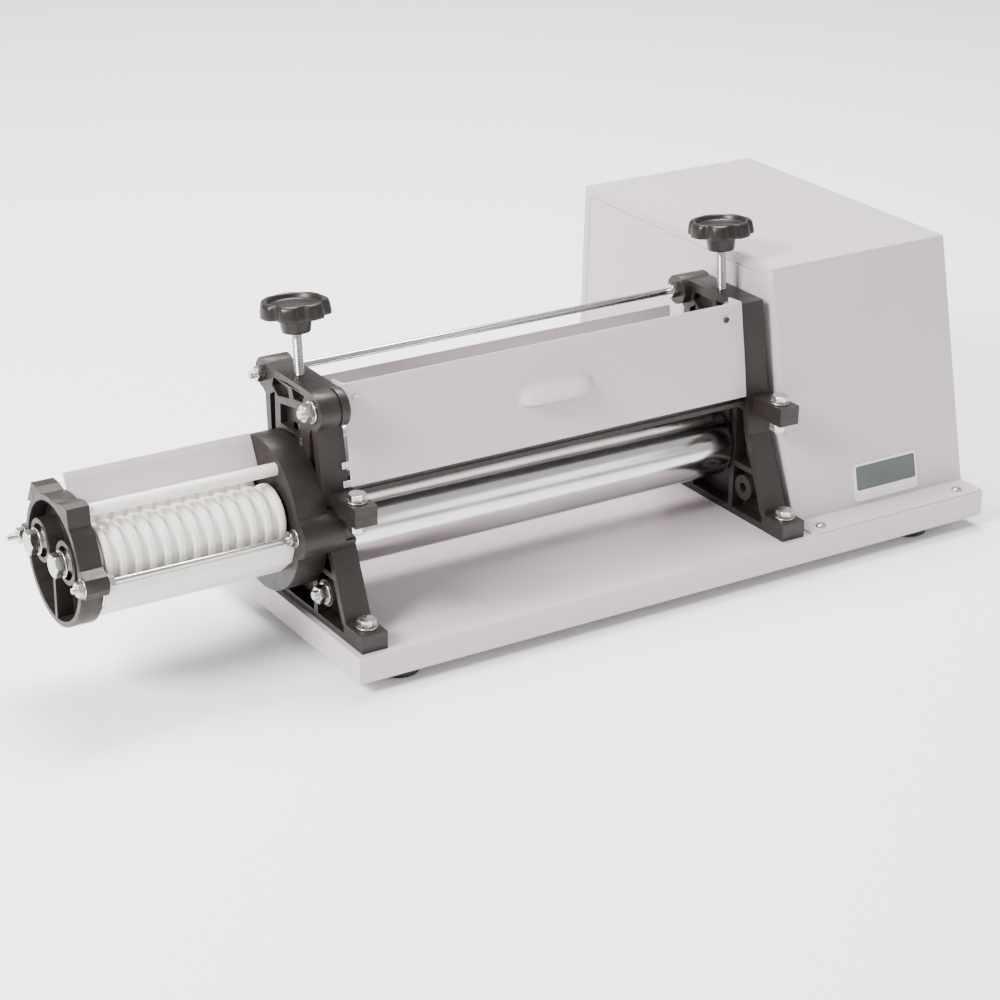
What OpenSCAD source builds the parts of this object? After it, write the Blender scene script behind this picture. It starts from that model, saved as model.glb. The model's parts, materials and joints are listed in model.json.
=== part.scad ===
// Motor-driven dough sheeter with a noodle-cutting head on its left end.
// X runs along the rollers, Y from front to back, Z up.
// The origin is half way along the whole machine and half way from front to back,
// on the face that the rubber feet stand on.

/* [Base] */
// Length of the folded sheet tray, along the rollers
base_length = 622; // [600:1:680]
// Depth of the tray, front to back
base_depth = 385; // [370:1:420]
// Height of the tray's folded side
base_height = 22; // [16:1:30]
// Height of a rubber foot below the tray
foot_height = 10; // [6:1:20]
// Radius of a rubber foot
foot_radius = 17; // [12:0.5:20]
// Thickness of the painted steel sheet
sheet = 1.5; // [1:0.1:2]

/* [Frames] */
// Distance between the two roller frames, like face to like face
frame_pitch = 400; // [390:1:404]
// Thickness of one frame casting
frame_width = 22.4; // [21:0.2:24]
// Backward lean of the upper frames and adjusting screws, in degrees
lean = 5.8; // [4:0.1:7]

/* [Rollers] */
// Radius of a sheeting roller
roller_radius = 30; // [28:0.5:31]
// Gap between the sheeting rollers at the thinnest setting
roller_gap = 1.3; // [0.8:0.1:2]
// Travel of the upper roller from thinnest to thickest
roller_travel = 3; // [1:0.5:4]
// Radius of the roller journals
journal_radius = 12.5; // [11:0.5:13]

/* [Knobs] */
// Radius of an adjusting knob
knob_radius = 28; // [24:0.5:30]
// Radius of the adjusting screw
screw_radius = 4; // [3:0.5:5]
// Number of grip lobes on a knob
knob_lobes = 7; // [5:1:9]

/* [Drive housing] */
// Width of the housing along the rollers
housing_width = 186; // [184:1:188]
// Height of the housing above the tray
housing_height = 212; // [200:1:240]

/* [Noodle cutter] */
// Tip radius of the cutting rings
ring_radius = 25; // [24.5:0.1:25.2]
// Core radius between the cutting rings
core_radius = 21; // [19:0.5:21]
// Pitch from one cutting ring to the next
ring_pitch = 11.8; // [11:0.1:12]
// Number of rings on the front cutting roller
ring_count = 13; // [8:1:13]

/* [Guard] */
// Gap from the guard to the frames at each end
guard_gap = 1.5; // [1:0.1:3]

/* [Hidden] */
$fn = 64;

black = [0.10, 0.095, 0.10];
white_paint = [0.86, 0.85, 0.88];
zinc = [0.78, 0.78, 0.76];
chrome = [0.85, 0.85, 0.86];
white_plastic = [0.93, 0.92, 0.90];
steel = [0.55, 0.56, 0.58];

fit = 0.05;             // radial clearance of a running fit
hole_gap = 0.2;         // radial clearance of a bolt hole
tray_top = foot_height + base_height;

left_x = 5;             // outer face of the left frame
right_x = left_x + frame_pitch;
left_inner = left_x + frame_width;
right_outer = right_x + frame_width;
housing_x = base_length - housing_width;

// Sheeting rollers: the upper axis sits above the lower one along the lean
lower_y = 106;
lower_z = 57;
centre_distance = 2 * roller_radius + roller_gap;
upper_y = lower_y + centre_distance * sin(lean);
upper_z = lower_z + centre_distance * cos(lean);
barrel_end_gap = 1.4;
barrel_x0 = left_inner + barrel_end_gap;
barrel_x1 = right_x - barrel_end_gap;
shaft_radius = 10;

// Frame castings: split height, web depth and lugs
split_z = 102;
foot_block = 14.6;
foot_front = 5;
foot_rear = 2 * lower_y - foot_front;
foot_bolt_in = 14;
web_depth = 12;
ear_y = 38.5;           // front clamp bolt
stud_y = 175;           // rear clamp stud
ear_height = 8;
ear_x0 = 6.4;
ear_x1 = 25.4;
bolt_radius = 4;
stud_radius = 2.5;
stud_top = 163;
tie_y = 158;
tie_z = 177;
tie_lug = 12.5;
lug_reach = 7;          // how far the right lug stands in from its frame
plate_top = 187;        // top of the upper castings
tie_radius = 3;
side_bolt_y = 61.5;
side_bolt_z = 28.5;
boss_y = 64;            // round boss at the top front of the left frame
boss_z = 178;
boss_radius = 14.5;
boss_x = -3;

// Bearing blocks that carry the upper roller in leaning slots
block_width = 36;
block_height = 40;
slot_gap = 0.3;
plate_distance = 72;    // upper roller axis to the top plate, along the lean
knob_hub_distance = 102;
knob_rim_distance = 115.5;
knob_top_distance = 127.5;
screw_foot_distance = 12;

// Cutting head
cutter_y = 117;
cutter_z = 80;
cutter_spacing = 46.5;
drive_distance = 33;    // lower roller axis to front cutter axis
front_cutter_y = cutter_y - cutter_spacing / 2;
rear_cutter_y = cutter_y + cutter_spacing / 2;
cutter_axis_z = lower_z + sqrt(pow(drive_distance, 2) - pow(lower_y - front_cutter_y, 2));
case_x0 = -20;
case_x1 = 24;
case_radius = 61.5;
case_wall = 3.5;
case_face = 5;
case_boss_radius = 17;
cap_x0 = -192;
cap_x1 = -174;
cap_radius = 50.5;
cap_wall = 4.5;
lobe_distance = 54.5;
rod_end_x = cap_x0 - 14;
rod_boss_radius = 7;    // clear of the cutter gears beside it
bar_y = 92.5;
bar_z = 125.6;
cutter_shaft_radius = 6;
cutter_bush_radius = 10;
ring_width = 5.6;
rod_radius = 2.5;
bar_radius = 5;

// Gears: module, teeth and width
pair_teeth = 18;
pair_module = centre_distance / pair_teeth;
pair_x = housing_x + 5;
pair_width = 14;
main_teeth = 50;
pinion_teeth = 14;
main_module = 2;
main_x = pair_x + pair_width + 6;
main_width = 10;
drive_teeth = 16;
driven_teeth = 17;
drive_module = 2;
cutter_teeth = 31;
cutter_module = 1.5;
cutter_gear_x = -13.5;
drive_gear_x = -7.5;
drive_gear_end = 1.5;
pressure = 20;
addendum = 0.8;
dedendum = 1.15;

// Layshaft and motor inside the housing
lay_angle = 35;
lay_distance = main_module * (main_teeth + pinion_teeth) / 2;
lay_y = lower_y + lay_distance * cos(lay_angle);
lay_z = lower_z + lay_distance * sin(lay_angle);
lay_radius = 8;
bracket_x0 = 480;
bracket_x1 = 560;
bracket_plate = 5;
pulley_x = 572;
pulley_width = 14;
belt_width = 8;
belt_thick = 6;
big_pulley = 55;        // inner radius of the belt on each pulley
small_pulley = 14;
motor_y = 275;
motor_z = 62;
motor_radius = 48;
motor_x0 = 447;
motor_x1 = 556;
motor_shaft_radius = 7;

// Housing outline
front_foot_y = 28;
front_top_y = 78;
back_top_y = 353;
back_foot_y = 357;
flange_front = 1.5;
lip = 8;
seam = 0.4;
shaft_slot_radius = 20;

// Switch on the right side plate and cable gland at the back
switch_y = 290;
switch_z = 150;
switch_tilt = 10;
rocker_proud = 4.34;    // how far the rocker's high edge stands out of the plate
gland_x = 530;
gland_z = 35;
gland_radius = 8;
cable_hole_radius = 3.75;

// Blank badge on the sloping front
badge_x = 503;
badge_foot = 5;
badge_width = 69.5;
badge_height = 33;

// Guard sheet, as seen from its end: top edge, fold, bottom edge, hem
guard_sheet = 1.2;
guard_path = [[75, 190.5], [66, 140], [61.5, 111], [69.5, 109]];
guard_x0 = left_inner + guard_gap;
guard_x1 = right_x - guard_gap;
pivot_y = 86;
pivot_z = 182;
pivot_radius = 3;
pivot_depth = 7;        // how far a pivot goes into its frame
grip_x = 218;           // middle of the pressed grip, its lip and its bulge
grip_z = 148;
grip_half = 32;
grip_bulge = 65;

// ---- placing and shape helpers ----

// From the tray's front left corner to the origin; the tie rods and the switch are the two ends
module machine()
    translate([-(rod_end_x + base_length + rocker_proud) / 2, -base_depth / 2, tray_top]) children();

// Extrude an outline drawn in (Y, Z) along X
module along_x(x0, x1) translate([x0, 0, 0]) rotate([90, 0, 90]) linear_extrude(x1 - x0) children();

module x_cylinder(x0, x1, r, y, z, fn = 64)
    translate([x0, y, z]) rotate([0, 90, 0]) cylinder(h = x1 - x0, r = r, $fn = fn);

module z_cylinder(x, y, z0, z1, r, fn = 64) translate([x, y, z0]) cylinder(h = z1 - z0, r = r, $fn = fn);

// A turned shape on an axis along X: points are [radius, x]
module turned(points, y, z)
    translate([0, y, z]) rotate([0, 90, 0]) rotate_extrude() polygon(points);

// Frame of the leaning parts: local Z runs up the lean from the upper roller axis
module leaning(x) translate([x, upper_y, upper_z]) rotate([-lean, 0, 0]) children();

module at_frames() for (x = [left_x, right_x]) translate([x, 0, 0]) children();

module hex_x(x0, x1, across, y, z) x_cylinder(x0, x1, across / 2 / cos(30), y, z, 6);

module hex_z(x, y, z0, z1, across) z_cylinder(x, y, z0, z1, across / 2 / cos(30), 6);

function unit(v) = v / norm(v);
function side_of(a, b) = let (d = unit(b - a)) [-d.y, d.x];
function mitre(p, i) =
    let (before = i > 0 ? side_of(p[i - 1], p[i]) : side_of(p[0], p[1]),
         after = i < len(p) - 1 ? side_of(p[i], p[i + 1]) : before,
         m = unit(before + after)) m / (m * before);

// A sheet folded along a path of points, thickened to the path's left
module folded_sheet(path, thickness) polygon(concat(path,
    [for (i = [len(path) - 1:-1:0]) path[i] + thickness * mitre(path, i)]));

// ---- gears ----

function inv(a) = tan(a) * 180 / PI - a;

// Half the angle that a tooth takes at radius r
function tooth_half(m, z, slack, r) =
    let (rp = m * z / 2, rb = rp * cos(pressure))
    90 / z - slack / rp * 180 / PI + inv(pressure) - (r > rb ? inv(acos(rb / r)) : 0);

function gear_radii(m, z) =
    let (rp = m * z / 2, root = rp - dedendum * m, tip = rp + addendum * m, start = max(root, rp * cos(pressure)))
    concat([root], [for (i = [0:4]) start + 0.01 + (tip - start - 0.01) * i / 4]);

// Tooth outline; phase is the angle of one tooth's middle, from +Y towards +Z
module gear_outline(m, z, phase, slack = 0.12) {
    radii = gear_radii(m, z);
    last = len(radii) - 1;
    polygon([for (t = [0:z - 1], s = [-1, 1], i = [0:last])
        let (r = s < 0 ? radii[i] : radii[last - i],
             a = phase + t * 360 / z + s * tooth_half(m, z, slack, r)) [r * cos(a), r * sin(a)]]);
}

module gear(m, z, phase, x0, x1, y, z0, bore, slack = 0.12)
    translate([0, y, z0]) difference() {
        along_x(x0, x1) gear_outline(m, z, phase, slack);
        x_cylinder(x0 - 1, x1 + 1, bore, 0, 0);
    }

// Phase of the gear that meshes with a gear of za teeth at phase pa, lying at angle dir from it
function meshed(pa, za, zb, dir) = dir + 180 - (pa - dir) * za / zb + 180 / zb;

pair_dir = 90 - lean;
drive_dir = atan2(cutter_axis_z - lower_z, front_cutter_y - lower_y);
drive_phase = drive_dir;
driven_phase = meshed(drive_phase, drive_teeth, driven_teeth, drive_dir);
front_phase = 0;
rear_phase = meshed(front_phase, cutter_teeth, cutter_teeth, 0);
main_phase = lay_angle;
pinion_phase = meshed(main_phase, main_teeth, pinion_teeth, lay_angle);
upper_phase = meshed(pair_dir, pair_teeth, pair_teeth, pair_dir);

// ---- base ----

foot_spots = [for (x = [48, 560], y = [26, base_depth - 26]) [x, y]];
frame_bolt_spots = [for (x = [left_x, right_x], y = [foot_front + foot_bolt_in, foot_rear - foot_bolt_in])
    [x + 12, y]];
flange_screw_spots = [for (x = [housing_x + 15, base_length - 20]) [x, 12]];
flange_screw_radius = 2.3;

module base_tray() color(white_paint) machine() difference() {
    translate([0, 0, -base_height]) cube([base_length, base_depth, base_height]);
    translate([sheet, sheet, -base_height + sheet])
        cube([base_length - 2 * sheet, base_depth - 2 * sheet, base_height - 2 * sheet]);
    translate([sheet + 45, sheet + 45, -base_height - 1])
        cube([base_length - 2 * sheet - 90, base_depth - 2 * sheet - 90, 2 * sheet + 1]);
    for (p = frame_bolt_spots) z_cylinder(p.x, p.y, -sheet - 1, 1, bolt_radius + hole_gap);
    for (p = flange_screw_spots) z_cylinder(p.x, p.y, -sheet - 1, 1, flange_screw_radius + hole_gap);
}

module rubber_feet() color(black) machine() for (p = foot_spots) difference() {
    z_cylinder(p.x, p.y, -tray_top, -base_height, foot_radius);
    z_cylinder(p.x, p.y, -tray_top - 1, -tray_top + 4, foot_radius - 9);
}

module foot_bolts() color(zinc) machine() for (p = frame_bolt_spots) {
    hex_z(p.x, p.y, foot_block + 1.6, foot_block + 7.2, 13);
    z_cylinder(p.x, p.y, foot_block, foot_block + 1.6, 8.5);
    z_cylinder(p.x, p.y, -sheet - 9, foot_block + 1.6, bolt_radius);
    hex_z(p.x, p.y, -sheet - 7, -sheet, 13);
}

// ---- frame castings, drawn with the outer face at x = 0 ----

module lower_outline(inset = 0) polygon([
    [foot_front + inset, inset], [foot_front + inset, foot_block - inset / 3],
    [30 + inset, foot_block - inset / 3], [57.5 + inset, 77.6], [62 + inset, split_z - inset / 2],
    [150 - inset, split_z - inset / 2], [154.5 - inset, 77.6], [182 - inset, foot_block - inset / 3],
    [foot_rear - inset, foot_block - inset / 3], [foot_rear - inset, inset]]);

// Slot for the bearing block, in (Y, Z)
module slot_outline() translate([upper_y, upper_z]) rotate(-lean)
    translate([-block_width / 2 - slot_gap, -block_height / 2 - slot_gap])
    square([block_width + 2 * slot_gap, block_height + roller_travel + 1 + 2 * slot_gap]);

module ear(z0, y0, y1) translate([ear_x0, y0, z0]) cube([ear_x1 - ear_x0, y1 - y0, ear_height]);

module lower_pockets() difference() {
    intersection() {
        lower_outline(6);
        translate([34, 5]) square([144, 92]);
    }
    translate([lower_y, lower_z]) circle(r = 27);
    translate([side_bolt_y, side_bolt_z]) circle(r = 11);
    for (y = [78, 134]) translate([y - 3, 0]) square([6, split_z]);
    translate([0, 44]) square([220, 5]);
    translate([85, 80]) square([44, 30]);
}

module lower_casting() difference() {
    union() {
        along_x(0, frame_width) lower_outline();
        ear(split_z - ear_height, 25, 68);
        ear(split_z - ear_height, 145, 186);
    }
    along_x(-1, web_depth) lower_pockets();
    along_x(-1, frame_width + 1) slot_outline();
    x_cylinder(-1, frame_width + 1, 17, lower_y, lower_z);
    for (y = [foot_front + foot_bolt_in, foot_rear - foot_bolt_in])
        z_cylinder(12, y, -1, foot_block + 1, bolt_radius + hole_gap);
    z_cylinder(15.5, ear_y, split_z - ear_height - 1, split_z + 1, bolt_radius + hole_gap);
    z_cylinder(15.5, stud_y, split_z - ear_height - 1, split_z + 1, stud_radius + hole_gap);
    x_cylinder(-1, frame_width + 1, bolt_radius + hole_gap, side_bolt_y, side_bolt_z);
}

module left_lower_frame() color(black) machine() translate([left_x, 0, 0]) lower_casting();

module right_lower_frame() color(black) machine() translate([right_x, 0, 0]) lower_casting();

module upper_outline() polygon([
    [62, split_z], [77.6, plate_top], [150, plate_top], [tie_y + tie_lug, tie_z],
    [168, 170], [155, 162], [150, split_z]]);

// Deep slot beside the rear edge
module upper_slots() {
    polygon([[139, 168], [147, 163], [144.5, 112], [138, 112]]);
    polygon([[72, 112], [84, 112], [84, 150], [80, 158]]);
}

// Shallow windows under the top plate, with a sloping rib between them
module upper_pockets() {
    polygon([[84, 180], [111, 180], [108, 172], [91, 174]]);
    polygon([[100, 166], [130, 161], [130, 145], [98, 145]]);
    polygon([[117, 178], [140, 179], [143, 172], [134, 166], [115, 170]]);
}

// end_block adds the lug that the tie rod's inner nut bears on
module upper_casting(end_block = false) difference() {
    union() {
        along_x(0, frame_width) upper_outline();
        if (end_block) x_cylinder(-lug_reach, 1, tie_lug, tie_y, tie_z);
        ear(split_z, 25, 63);
        ear(split_z, 145, 186);
        x_cylinder(0, frame_width, tie_lug, tie_y, tie_z);
        translate([-1, 78, plate_top - 4.5]) cube([frame_width + 2, 72, 4.5]);
    }
    along_x(-1, web_depth) upper_slots();
    along_x(-1, web_depth / 2) upper_pockets();
    along_x(-1, frame_width + 1) slot_outline();
    leaning(frame_width / 2) cylinder(h = plate_distance + 10, r = screw_radius + fit);
    leaning(frame_width / 2) cylinder(h = block_height / 2 + roller_travel + 8, r = screw_radius + 3);
    x_cylinder(-lug_reach - 1, frame_width + 1, tie_radius + hole_gap, tie_y, tie_z);
    z_cylinder(15.5, ear_y, split_z - 1, split_z + ear_height + 1, bolt_radius + hole_gap);
    z_cylinder(15.5, stud_y, split_z - 1, split_z + ear_height + 1, stud_radius + hole_gap);
    pivot_hole = end_block ? [-2, pivot_depth] : [frame_width - pivot_depth, frame_width + 2];
    x_cylinder(pivot_hole[0], pivot_hole[1], pivot_radius, pivot_y, pivot_z);
}

module left_upper_frame() color(black) machine() difference() {
    union() {
        translate([left_x, 0, 0]) upper_casting();
        x_cylinder(boss_x, left_x + 9, boss_radius, boss_y, boss_z);
        x_cylinder(left_x + 8, left_x + 10, boss_radius - 1.2, boss_y, boss_z);
        x_cylinder(left_x + 10, left_x + 17, boss_radius + 0.4, boss_y, boss_z);
    }
    x_cylinder(boss_x - 1, left_x + 18, bolt_radius + hole_gap, boss_y, boss_z);
}

module right_upper_frame() color(black) machine() translate([right_x, 0, 0]) upper_casting(true);

module clamp_bolts() color(zinc) machine() at_frames() {
    top = split_z + ear_height;
    hex_z(15.5, ear_y, top + 1.5, top + 7, 13);
    z_cylinder(15.5, ear_y, top, top + 1.5, 8);
    z_cylinder(15.5, ear_y, split_z - ear_height - 11, top + 2, bolt_radius);
    hex_z(15.5, ear_y, split_z - ear_height - 8, split_z - ear_height - 1.5, 13);
    z_cylinder(15.5, ear_y, split_z - ear_height - 1.5, split_z - ear_height, 8);
}

module rear_studs() color(zinc) machine() at_frames() {
    z_cylinder(15.5, stud_y, split_z - ear_height - 8, stud_top, stud_radius);
    hex_z(15.5, stud_y, split_z - ear_height - 5, split_z - ear_height, 8);
    hex_z(15.5, stud_y, split_z + ear_height, split_z + ear_height + 5, 8);
    hex_z(15.5, stud_y, stud_top - 8, stud_top - 3, 8);
}

module frame_side_bolts() color(zinc) machine() {
    hex_x(left_x - 8, left_x - 1.5, 13, side_bolt_y, side_bolt_z);
    x_cylinder(left_x - 1.5, left_x, 9, side_bolt_y, side_bolt_z);
    x_cylinder(left_x - 11, left_inner + 3, bolt_radius, side_bolt_y, side_bolt_z);
    hex_x(boss_x - 8, boss_x - 1.5, 13, boss_y, boss_z);
    x_cylinder(boss_x - 1.5, boss_x, 8.5, boss_y, boss_z);
    x_cylinder(boss_x - 11, left_x + 16, bolt_radius, boss_y, boss_z);
}

module rear_tie_rod() color(zinc) machine()
    x_cylinder(left_x - 12, right_outer + 6.5, tie_radius, tie_y, tie_z);

module tie_rod_nuts() color(zinc) machine() {
    for (x = [[left_x - 7, left_x - 1.5], [right_x - lug_reach - 7, right_x - lug_reach - 1.5],
            [right_outer + 1.5, right_outer + 5.5]])
        difference() {
            hex_x(x[0], x[1], 11, tie_y, tie_z);
            x_cylinder(x[0] - 1, x[1] + 1, tie_radius, tie_y, tie_z);
        }
    for (x = [left_x - 1.5, right_x - lug_reach - 1.5, right_outer]) difference() {
        x_cylinder(x, x + 1.5, 8, tie_y, tie_z);
        x_cylinder(x - 1, x + 3, tie_radius, tie_y, tie_z);
    }
}

module roller_bushes() color("tan") machine() at_frames() difference() {
    x_cylinder(0, frame_width, 17, lower_y, lower_z);
    x_cylinder(-1, frame_width + 1, journal_radius + fit, lower_y, lower_z);
}

// Rear sheet that leads the dough down to the gap between the rollers
module feed_chute() color(white_paint) machine() along_x(left_x + ear_x1, right_x - 13)
    folded_sheet([[161, 160], [158, 165], [150, 118], [137, 92]], guard_sheet);

// Blade just ahead of the upper roller's lower front
module roller_scraper() color(black) machine() {
    along_x(left_inner, right_x) difference() {
        polygon([[66, 101], [84, 100.5], [85, 102], [74, 106], [66, 106]]);
        translate([upper_y, upper_z]) circle(r = roller_radius + 1);
    }
}

// ---- sheeting rollers ----

module lower_roller() color(chrome) machine() {
    turned([[0, -7], [shaft_radius, -7], [shaft_radius, left_x - 1], [journal_radius, left_x - 1],
        [journal_radius, barrel_x0], [roller_radius - 1, barrel_x0], [roller_radius, barrel_x0 + 1],
        [roller_radius, barrel_x1 - 1], [roller_radius - 1, barrel_x1], [journal_radius, barrel_x1],
        [journal_radius, right_outer + 1], [shaft_radius, right_outer + 1],
        [shaft_radius, bracket_x0 + bracket_plate + 2], [0, bracket_x0 + bracket_plate + 2]], lower_y, lower_z);
}

module lower_pair_gear() color(steel) machine() difference() {
    union() {
        gear(pair_module, pair_teeth, pair_dir, pair_x, pair_x + pair_width, lower_y, lower_z, shaft_radius);
        x_cylinder(pair_x + pair_width, pair_x + pair_width + 4, 16, lower_y, lower_z);
    }
    x_cylinder(pair_x - 1, pair_x + pair_width + 6, shaft_radius, lower_y, lower_z);
}

module main_gear() color(steel) machine() difference() {
    gear(main_module, main_teeth, main_phase, main_x, main_x + main_width, lower_y, lower_z, shaft_radius);
    for (a = [0:60:300])
        x_cylinder(main_x - 1, main_x + main_width + 1, 9, lower_y + 30 * cos(a), lower_z + 30 * sin(a));
}

module cutter_drive_gear() color(steel) machine()
    gear(drive_module, drive_teeth, drive_phase, drive_gear_x + 1, drive_gear_end, lower_y, lower_z, shaft_radius);

module upper_roller() color(chrome) machine() {
    turned([[0, left_x - 1], [journal_radius, left_x - 1], [journal_radius, barrel_x0],
        [roller_radius - 1, barrel_x0], [roller_radius, barrel_x0 + 1], [roller_radius, barrel_x1 - 1],
        [roller_radius - 1, barrel_x1], [journal_radius, barrel_x1], [journal_radius, right_outer + 1],
        [shaft_radius, right_outer + 1], [shaft_radius, pair_x + pair_width + 1],
        [0, pair_x + pair_width + 1]], upper_y, upper_z);
}

module upper_pair_gear() color(steel) machine()
    gear(pair_module, pair_teeth, upper_phase, pair_x, pair_x + pair_width, upper_y, upper_z, shaft_radius);

module bearing_block() difference() {
    leaning(0) translate([0.2, -block_width / 2, -block_height / 2])
        cube([frame_width - 0.4, block_width, block_height]);
    x_cylinder(-1, frame_width + 1, journal_radius + fit, upper_y, upper_z);
    leaning(frame_width / 2) translate([0, 0, screw_foot_distance + 2]) cylinder(h = 4.2, r = 6.6);
    leaning(frame_width / 2) translate([0, 0, screw_foot_distance + 2]) cylinder(h = 20, r = screw_radius + fit);
}

module left_bearing_block() color("gray") machine() translate([left_x, 0, 0]) bearing_block();

module right_bearing_block() color("gray") machine() translate([right_x, 0, 0]) bearing_block();

// Adjusting screw, its foot held in the bearing block
module screw() leaning(frame_width / 2) {
    translate([0, 0, screw_foot_distance + 2.2]) cylinder(h = 3.8, r = 6.4);
    translate([0, 0, screw_foot_distance + 2.2])
        cylinder(h = knob_rim_distance + 4 - screw_foot_distance, r = screw_radius);
}

module left_screw() color(zinc) machine() translate([left_x, 0, 0]) screw();

module right_screw() color(zinc) machine() translate([right_x, 0, 0]) screw();

module knob() leaning(frame_width / 2) difference() {
    union() {
        translate([0, 0, knob_rim_distance]) linear_extrude(knob_top_distance - knob_rim_distance) difference() {
            circle(r = knob_radius);
            for (i = [0:knob_lobes - 1]) rotate(i * 360 / knob_lobes) translate([knob_radius + 4, 0]) circle(r = 7);
        }
        translate([0, 0, knob_hub_distance]) cylinder(h = 14, r = 12);
    }
    translate([0, 0, knob_top_distance - 5]) cylinder(h = 6, r = knob_radius - 8);
    translate([0, 0, knob_hub_distance - 1])
        cylinder(h = knob_rim_distance - knob_hub_distance + 7.2, r = screw_radius);
}

module left_knob() color(black) machine() translate([left_x, 0, 0]) knob();

module right_knob() color(black) machine() translate([right_x, 0, 0]) knob();

// ---- guard ----

// Plane of the guard's upper panel, with local Y pointing out of its front
module guard_plane() translate([grip_x, 66.5, grip_z - 5]) rotate([-10.1, 0, 0]) children();

module grip_shell(r) guard_plane() translate([0, r - 14.5, -22]) sphere(r = r);

module guard() color(white_paint) machine() difference() {
    union() {
        along_x(guard_x0, guard_x1) folded_sheet(guard_path, guard_sheet);
        for (x = [guard_x0, guard_x1 - sheet]) along_x(x, x + sheet)
            polygon([[75.6, 190], [92, 189], [94, 176], [72, 168]]);
        for (z = [111.5, 126]) translate([guard_x0 - 6, 61.4 + (z - 106) * 0.155, z]) cube([8, guard_sheet, 5]);
        intersection() {
            grip_shell(grip_bulge);
            guard_plane() translate([-grip_half, -20, 4]) cube([2 * grip_half, 20.5, 16]);
        }
    }
    difference() {
        grip_shell(grip_bulge - 1.3);
        guard_plane() translate([-50, 1, -60]) cube([100, 60, 100]);
        guard_plane() translate([-50, -30, -60]) cube([100, 60, 64.5]);
    }
    x_cylinder(guard_x0 - 1, guard_x1 + 1, pivot_radius + fit, pivot_y, pivot_z);
    for (x = [39, 386]) translate([x, 60, 178.5]) rotate([-90, 0, 0]) cylinder(h = 20, r = 2.2);
}

module guard_pivots() color(zinc) machine() {
    x_cylinder(left_inner - pivot_depth, guard_x0 + 4, pivot_radius, pivot_y, pivot_z);
    x_cylinder(guard_x0 + 4, guard_x0 + 6, pivot_radius + 2.5, pivot_y, pivot_z);
    x_cylinder(guard_x1 - 4, right_x + pivot_depth, pivot_radius, pivot_y, pivot_z);
    x_cylinder(guard_x1 - 6, guard_x1 - 4, pivot_radius + 2.5, pivot_y, pivot_z);
}

// ---- noodle cutter ----

function lobe_y(a) = cutter_y + lobe_distance * cos(a);
function lobe_z(a) = cutter_z + lobe_distance * sin(a);

module case_outline(inset = 0) {
    translate([cutter_y, cutter_z]) circle(r = case_radius - inset);
    translate([lobe_y(180), lobe_z(180)]) circle(r = case_boss_radius - inset);
}

module cutter_gear_case() color(black) machine() difference() {
    along_x(case_x0, case_x1) case_outline();
    along_x(case_x0 + case_face, left_x) difference() {
        translate([cutter_y, cutter_z]) circle(r = case_radius - case_wall);
        for (a = [0, 180]) translate([lobe_y(a), lobe_z(a)]) circle(r = rod_boss_radius);
    }
    along_x(left_x, case_x1 + 1) {
        translate([58.5, -20]) square([200, 220]);
        polygon([[0, -5], [22, 10], [47, 50], [56, 79], [61, 102], [72, 160], [90, 160], [90, -5]]);
    }
    translate([left_x + ear_x0 - 0.5, 20, split_z - ear_height - 0.5]) cube([30, 50, 2 * ear_height + 1]);
    z_cylinder(left_x + 15.5, ear_y, split_z - 26, split_z + 22, 9.5);
    for (y = [front_cutter_y, rear_cutter_y])
        x_cylinder(case_x0 - 1, case_x0 + case_face + 1, cutter_bush_radius, y, cutter_axis_z);
    for (a = [0, 180]) x_cylinder(case_x0 - 1, left_x + 1, rod_radius + hole_gap, lobe_y(a), lobe_z(a));
    x_cylinder(case_x0 - 1, case_x0 + 3, bar_radius, bar_y, bar_z);
}

// Ring with two squared lugs on top and a lug for each tie rod
module cap_outline() {
    translate([cutter_y, cutter_z]) circle(r = cap_radius);
    polygon([[161, 112], [151.5, 130.4], [141, 130.4], [128, 127.4], [126, 122]]);
    polygon([[108, 122], [105, 131], [93, 134], [86, 132.6], [83, 113]]);
    for (a = [0, 180]) translate([cutter_y, cutter_z]) rotate(a)
        polygon([[38, -12], [50, -11], [59, -7.5], [62, -2], [62, 2], [59, 7.5], [50, 11], [38, 12]]);
}

module cutter_end_cap() color(black) machine() difference() {
    along_x(cap_x0, cap_x1) cap_outline();
    along_x(cap_x0 - 1, cap_x1 - cap_wall) difference() {
        translate([cutter_y, cutter_z]) circle(r = cap_radius - cap_wall);
        for (y = [front_cutter_y, rear_cutter_y]) translate([y, cutter_axis_z]) circle(r = 17);
        translate([cutter_y - 2, cutter_z - cap_radius]) square([4, cap_radius]);
    }
    for (y = [front_cutter_y, rear_cutter_y]) {
        x_cylinder(cap_x0 - 1, cap_x1 + 1, cutter_bush_radius, y, cutter_axis_z);
        x_cylinder(cap_x0 - 1, cap_x0 + 5, 13, y, cutter_axis_z);
    }
    for (a = [0, 180]) x_cylinder(cap_x0 - 1, cap_x1 + 1, rod_radius + hole_gap, lobe_y(a), lobe_z(a));
    x_cylinder(cap_x1 - 10, cap_x1 + 1, bar_radius, bar_y, bar_z);
}

module cutter_tie_rods() color(zinc) machine() {
    x_cylinder(cap_x0 - 9, left_x, rod_radius, lobe_y(180), lobe_z(180));
    x_cylinder(rod_end_x, left_x, rod_radius, lobe_y(0), lobe_z(0));
}

module cutter_rod_nuts() color(zinc) machine() for (a = [0, 180], x = [cap_x0 - 5.5, cap_x1, case_x0 - 5.5])
    difference() {
        hex_x(x, x + 5.5, 11, lobe_y(a), lobe_z(a));
        x_cylinder(x - 1, x + 7, rod_radius, lobe_y(a), lobe_z(a));
    }

module cutter_front_bar() color(white_plastic) machine()
    x_cylinder(cap_x1 - 10, case_x0 + 3, bar_radius, bar_y, bar_z);

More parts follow.
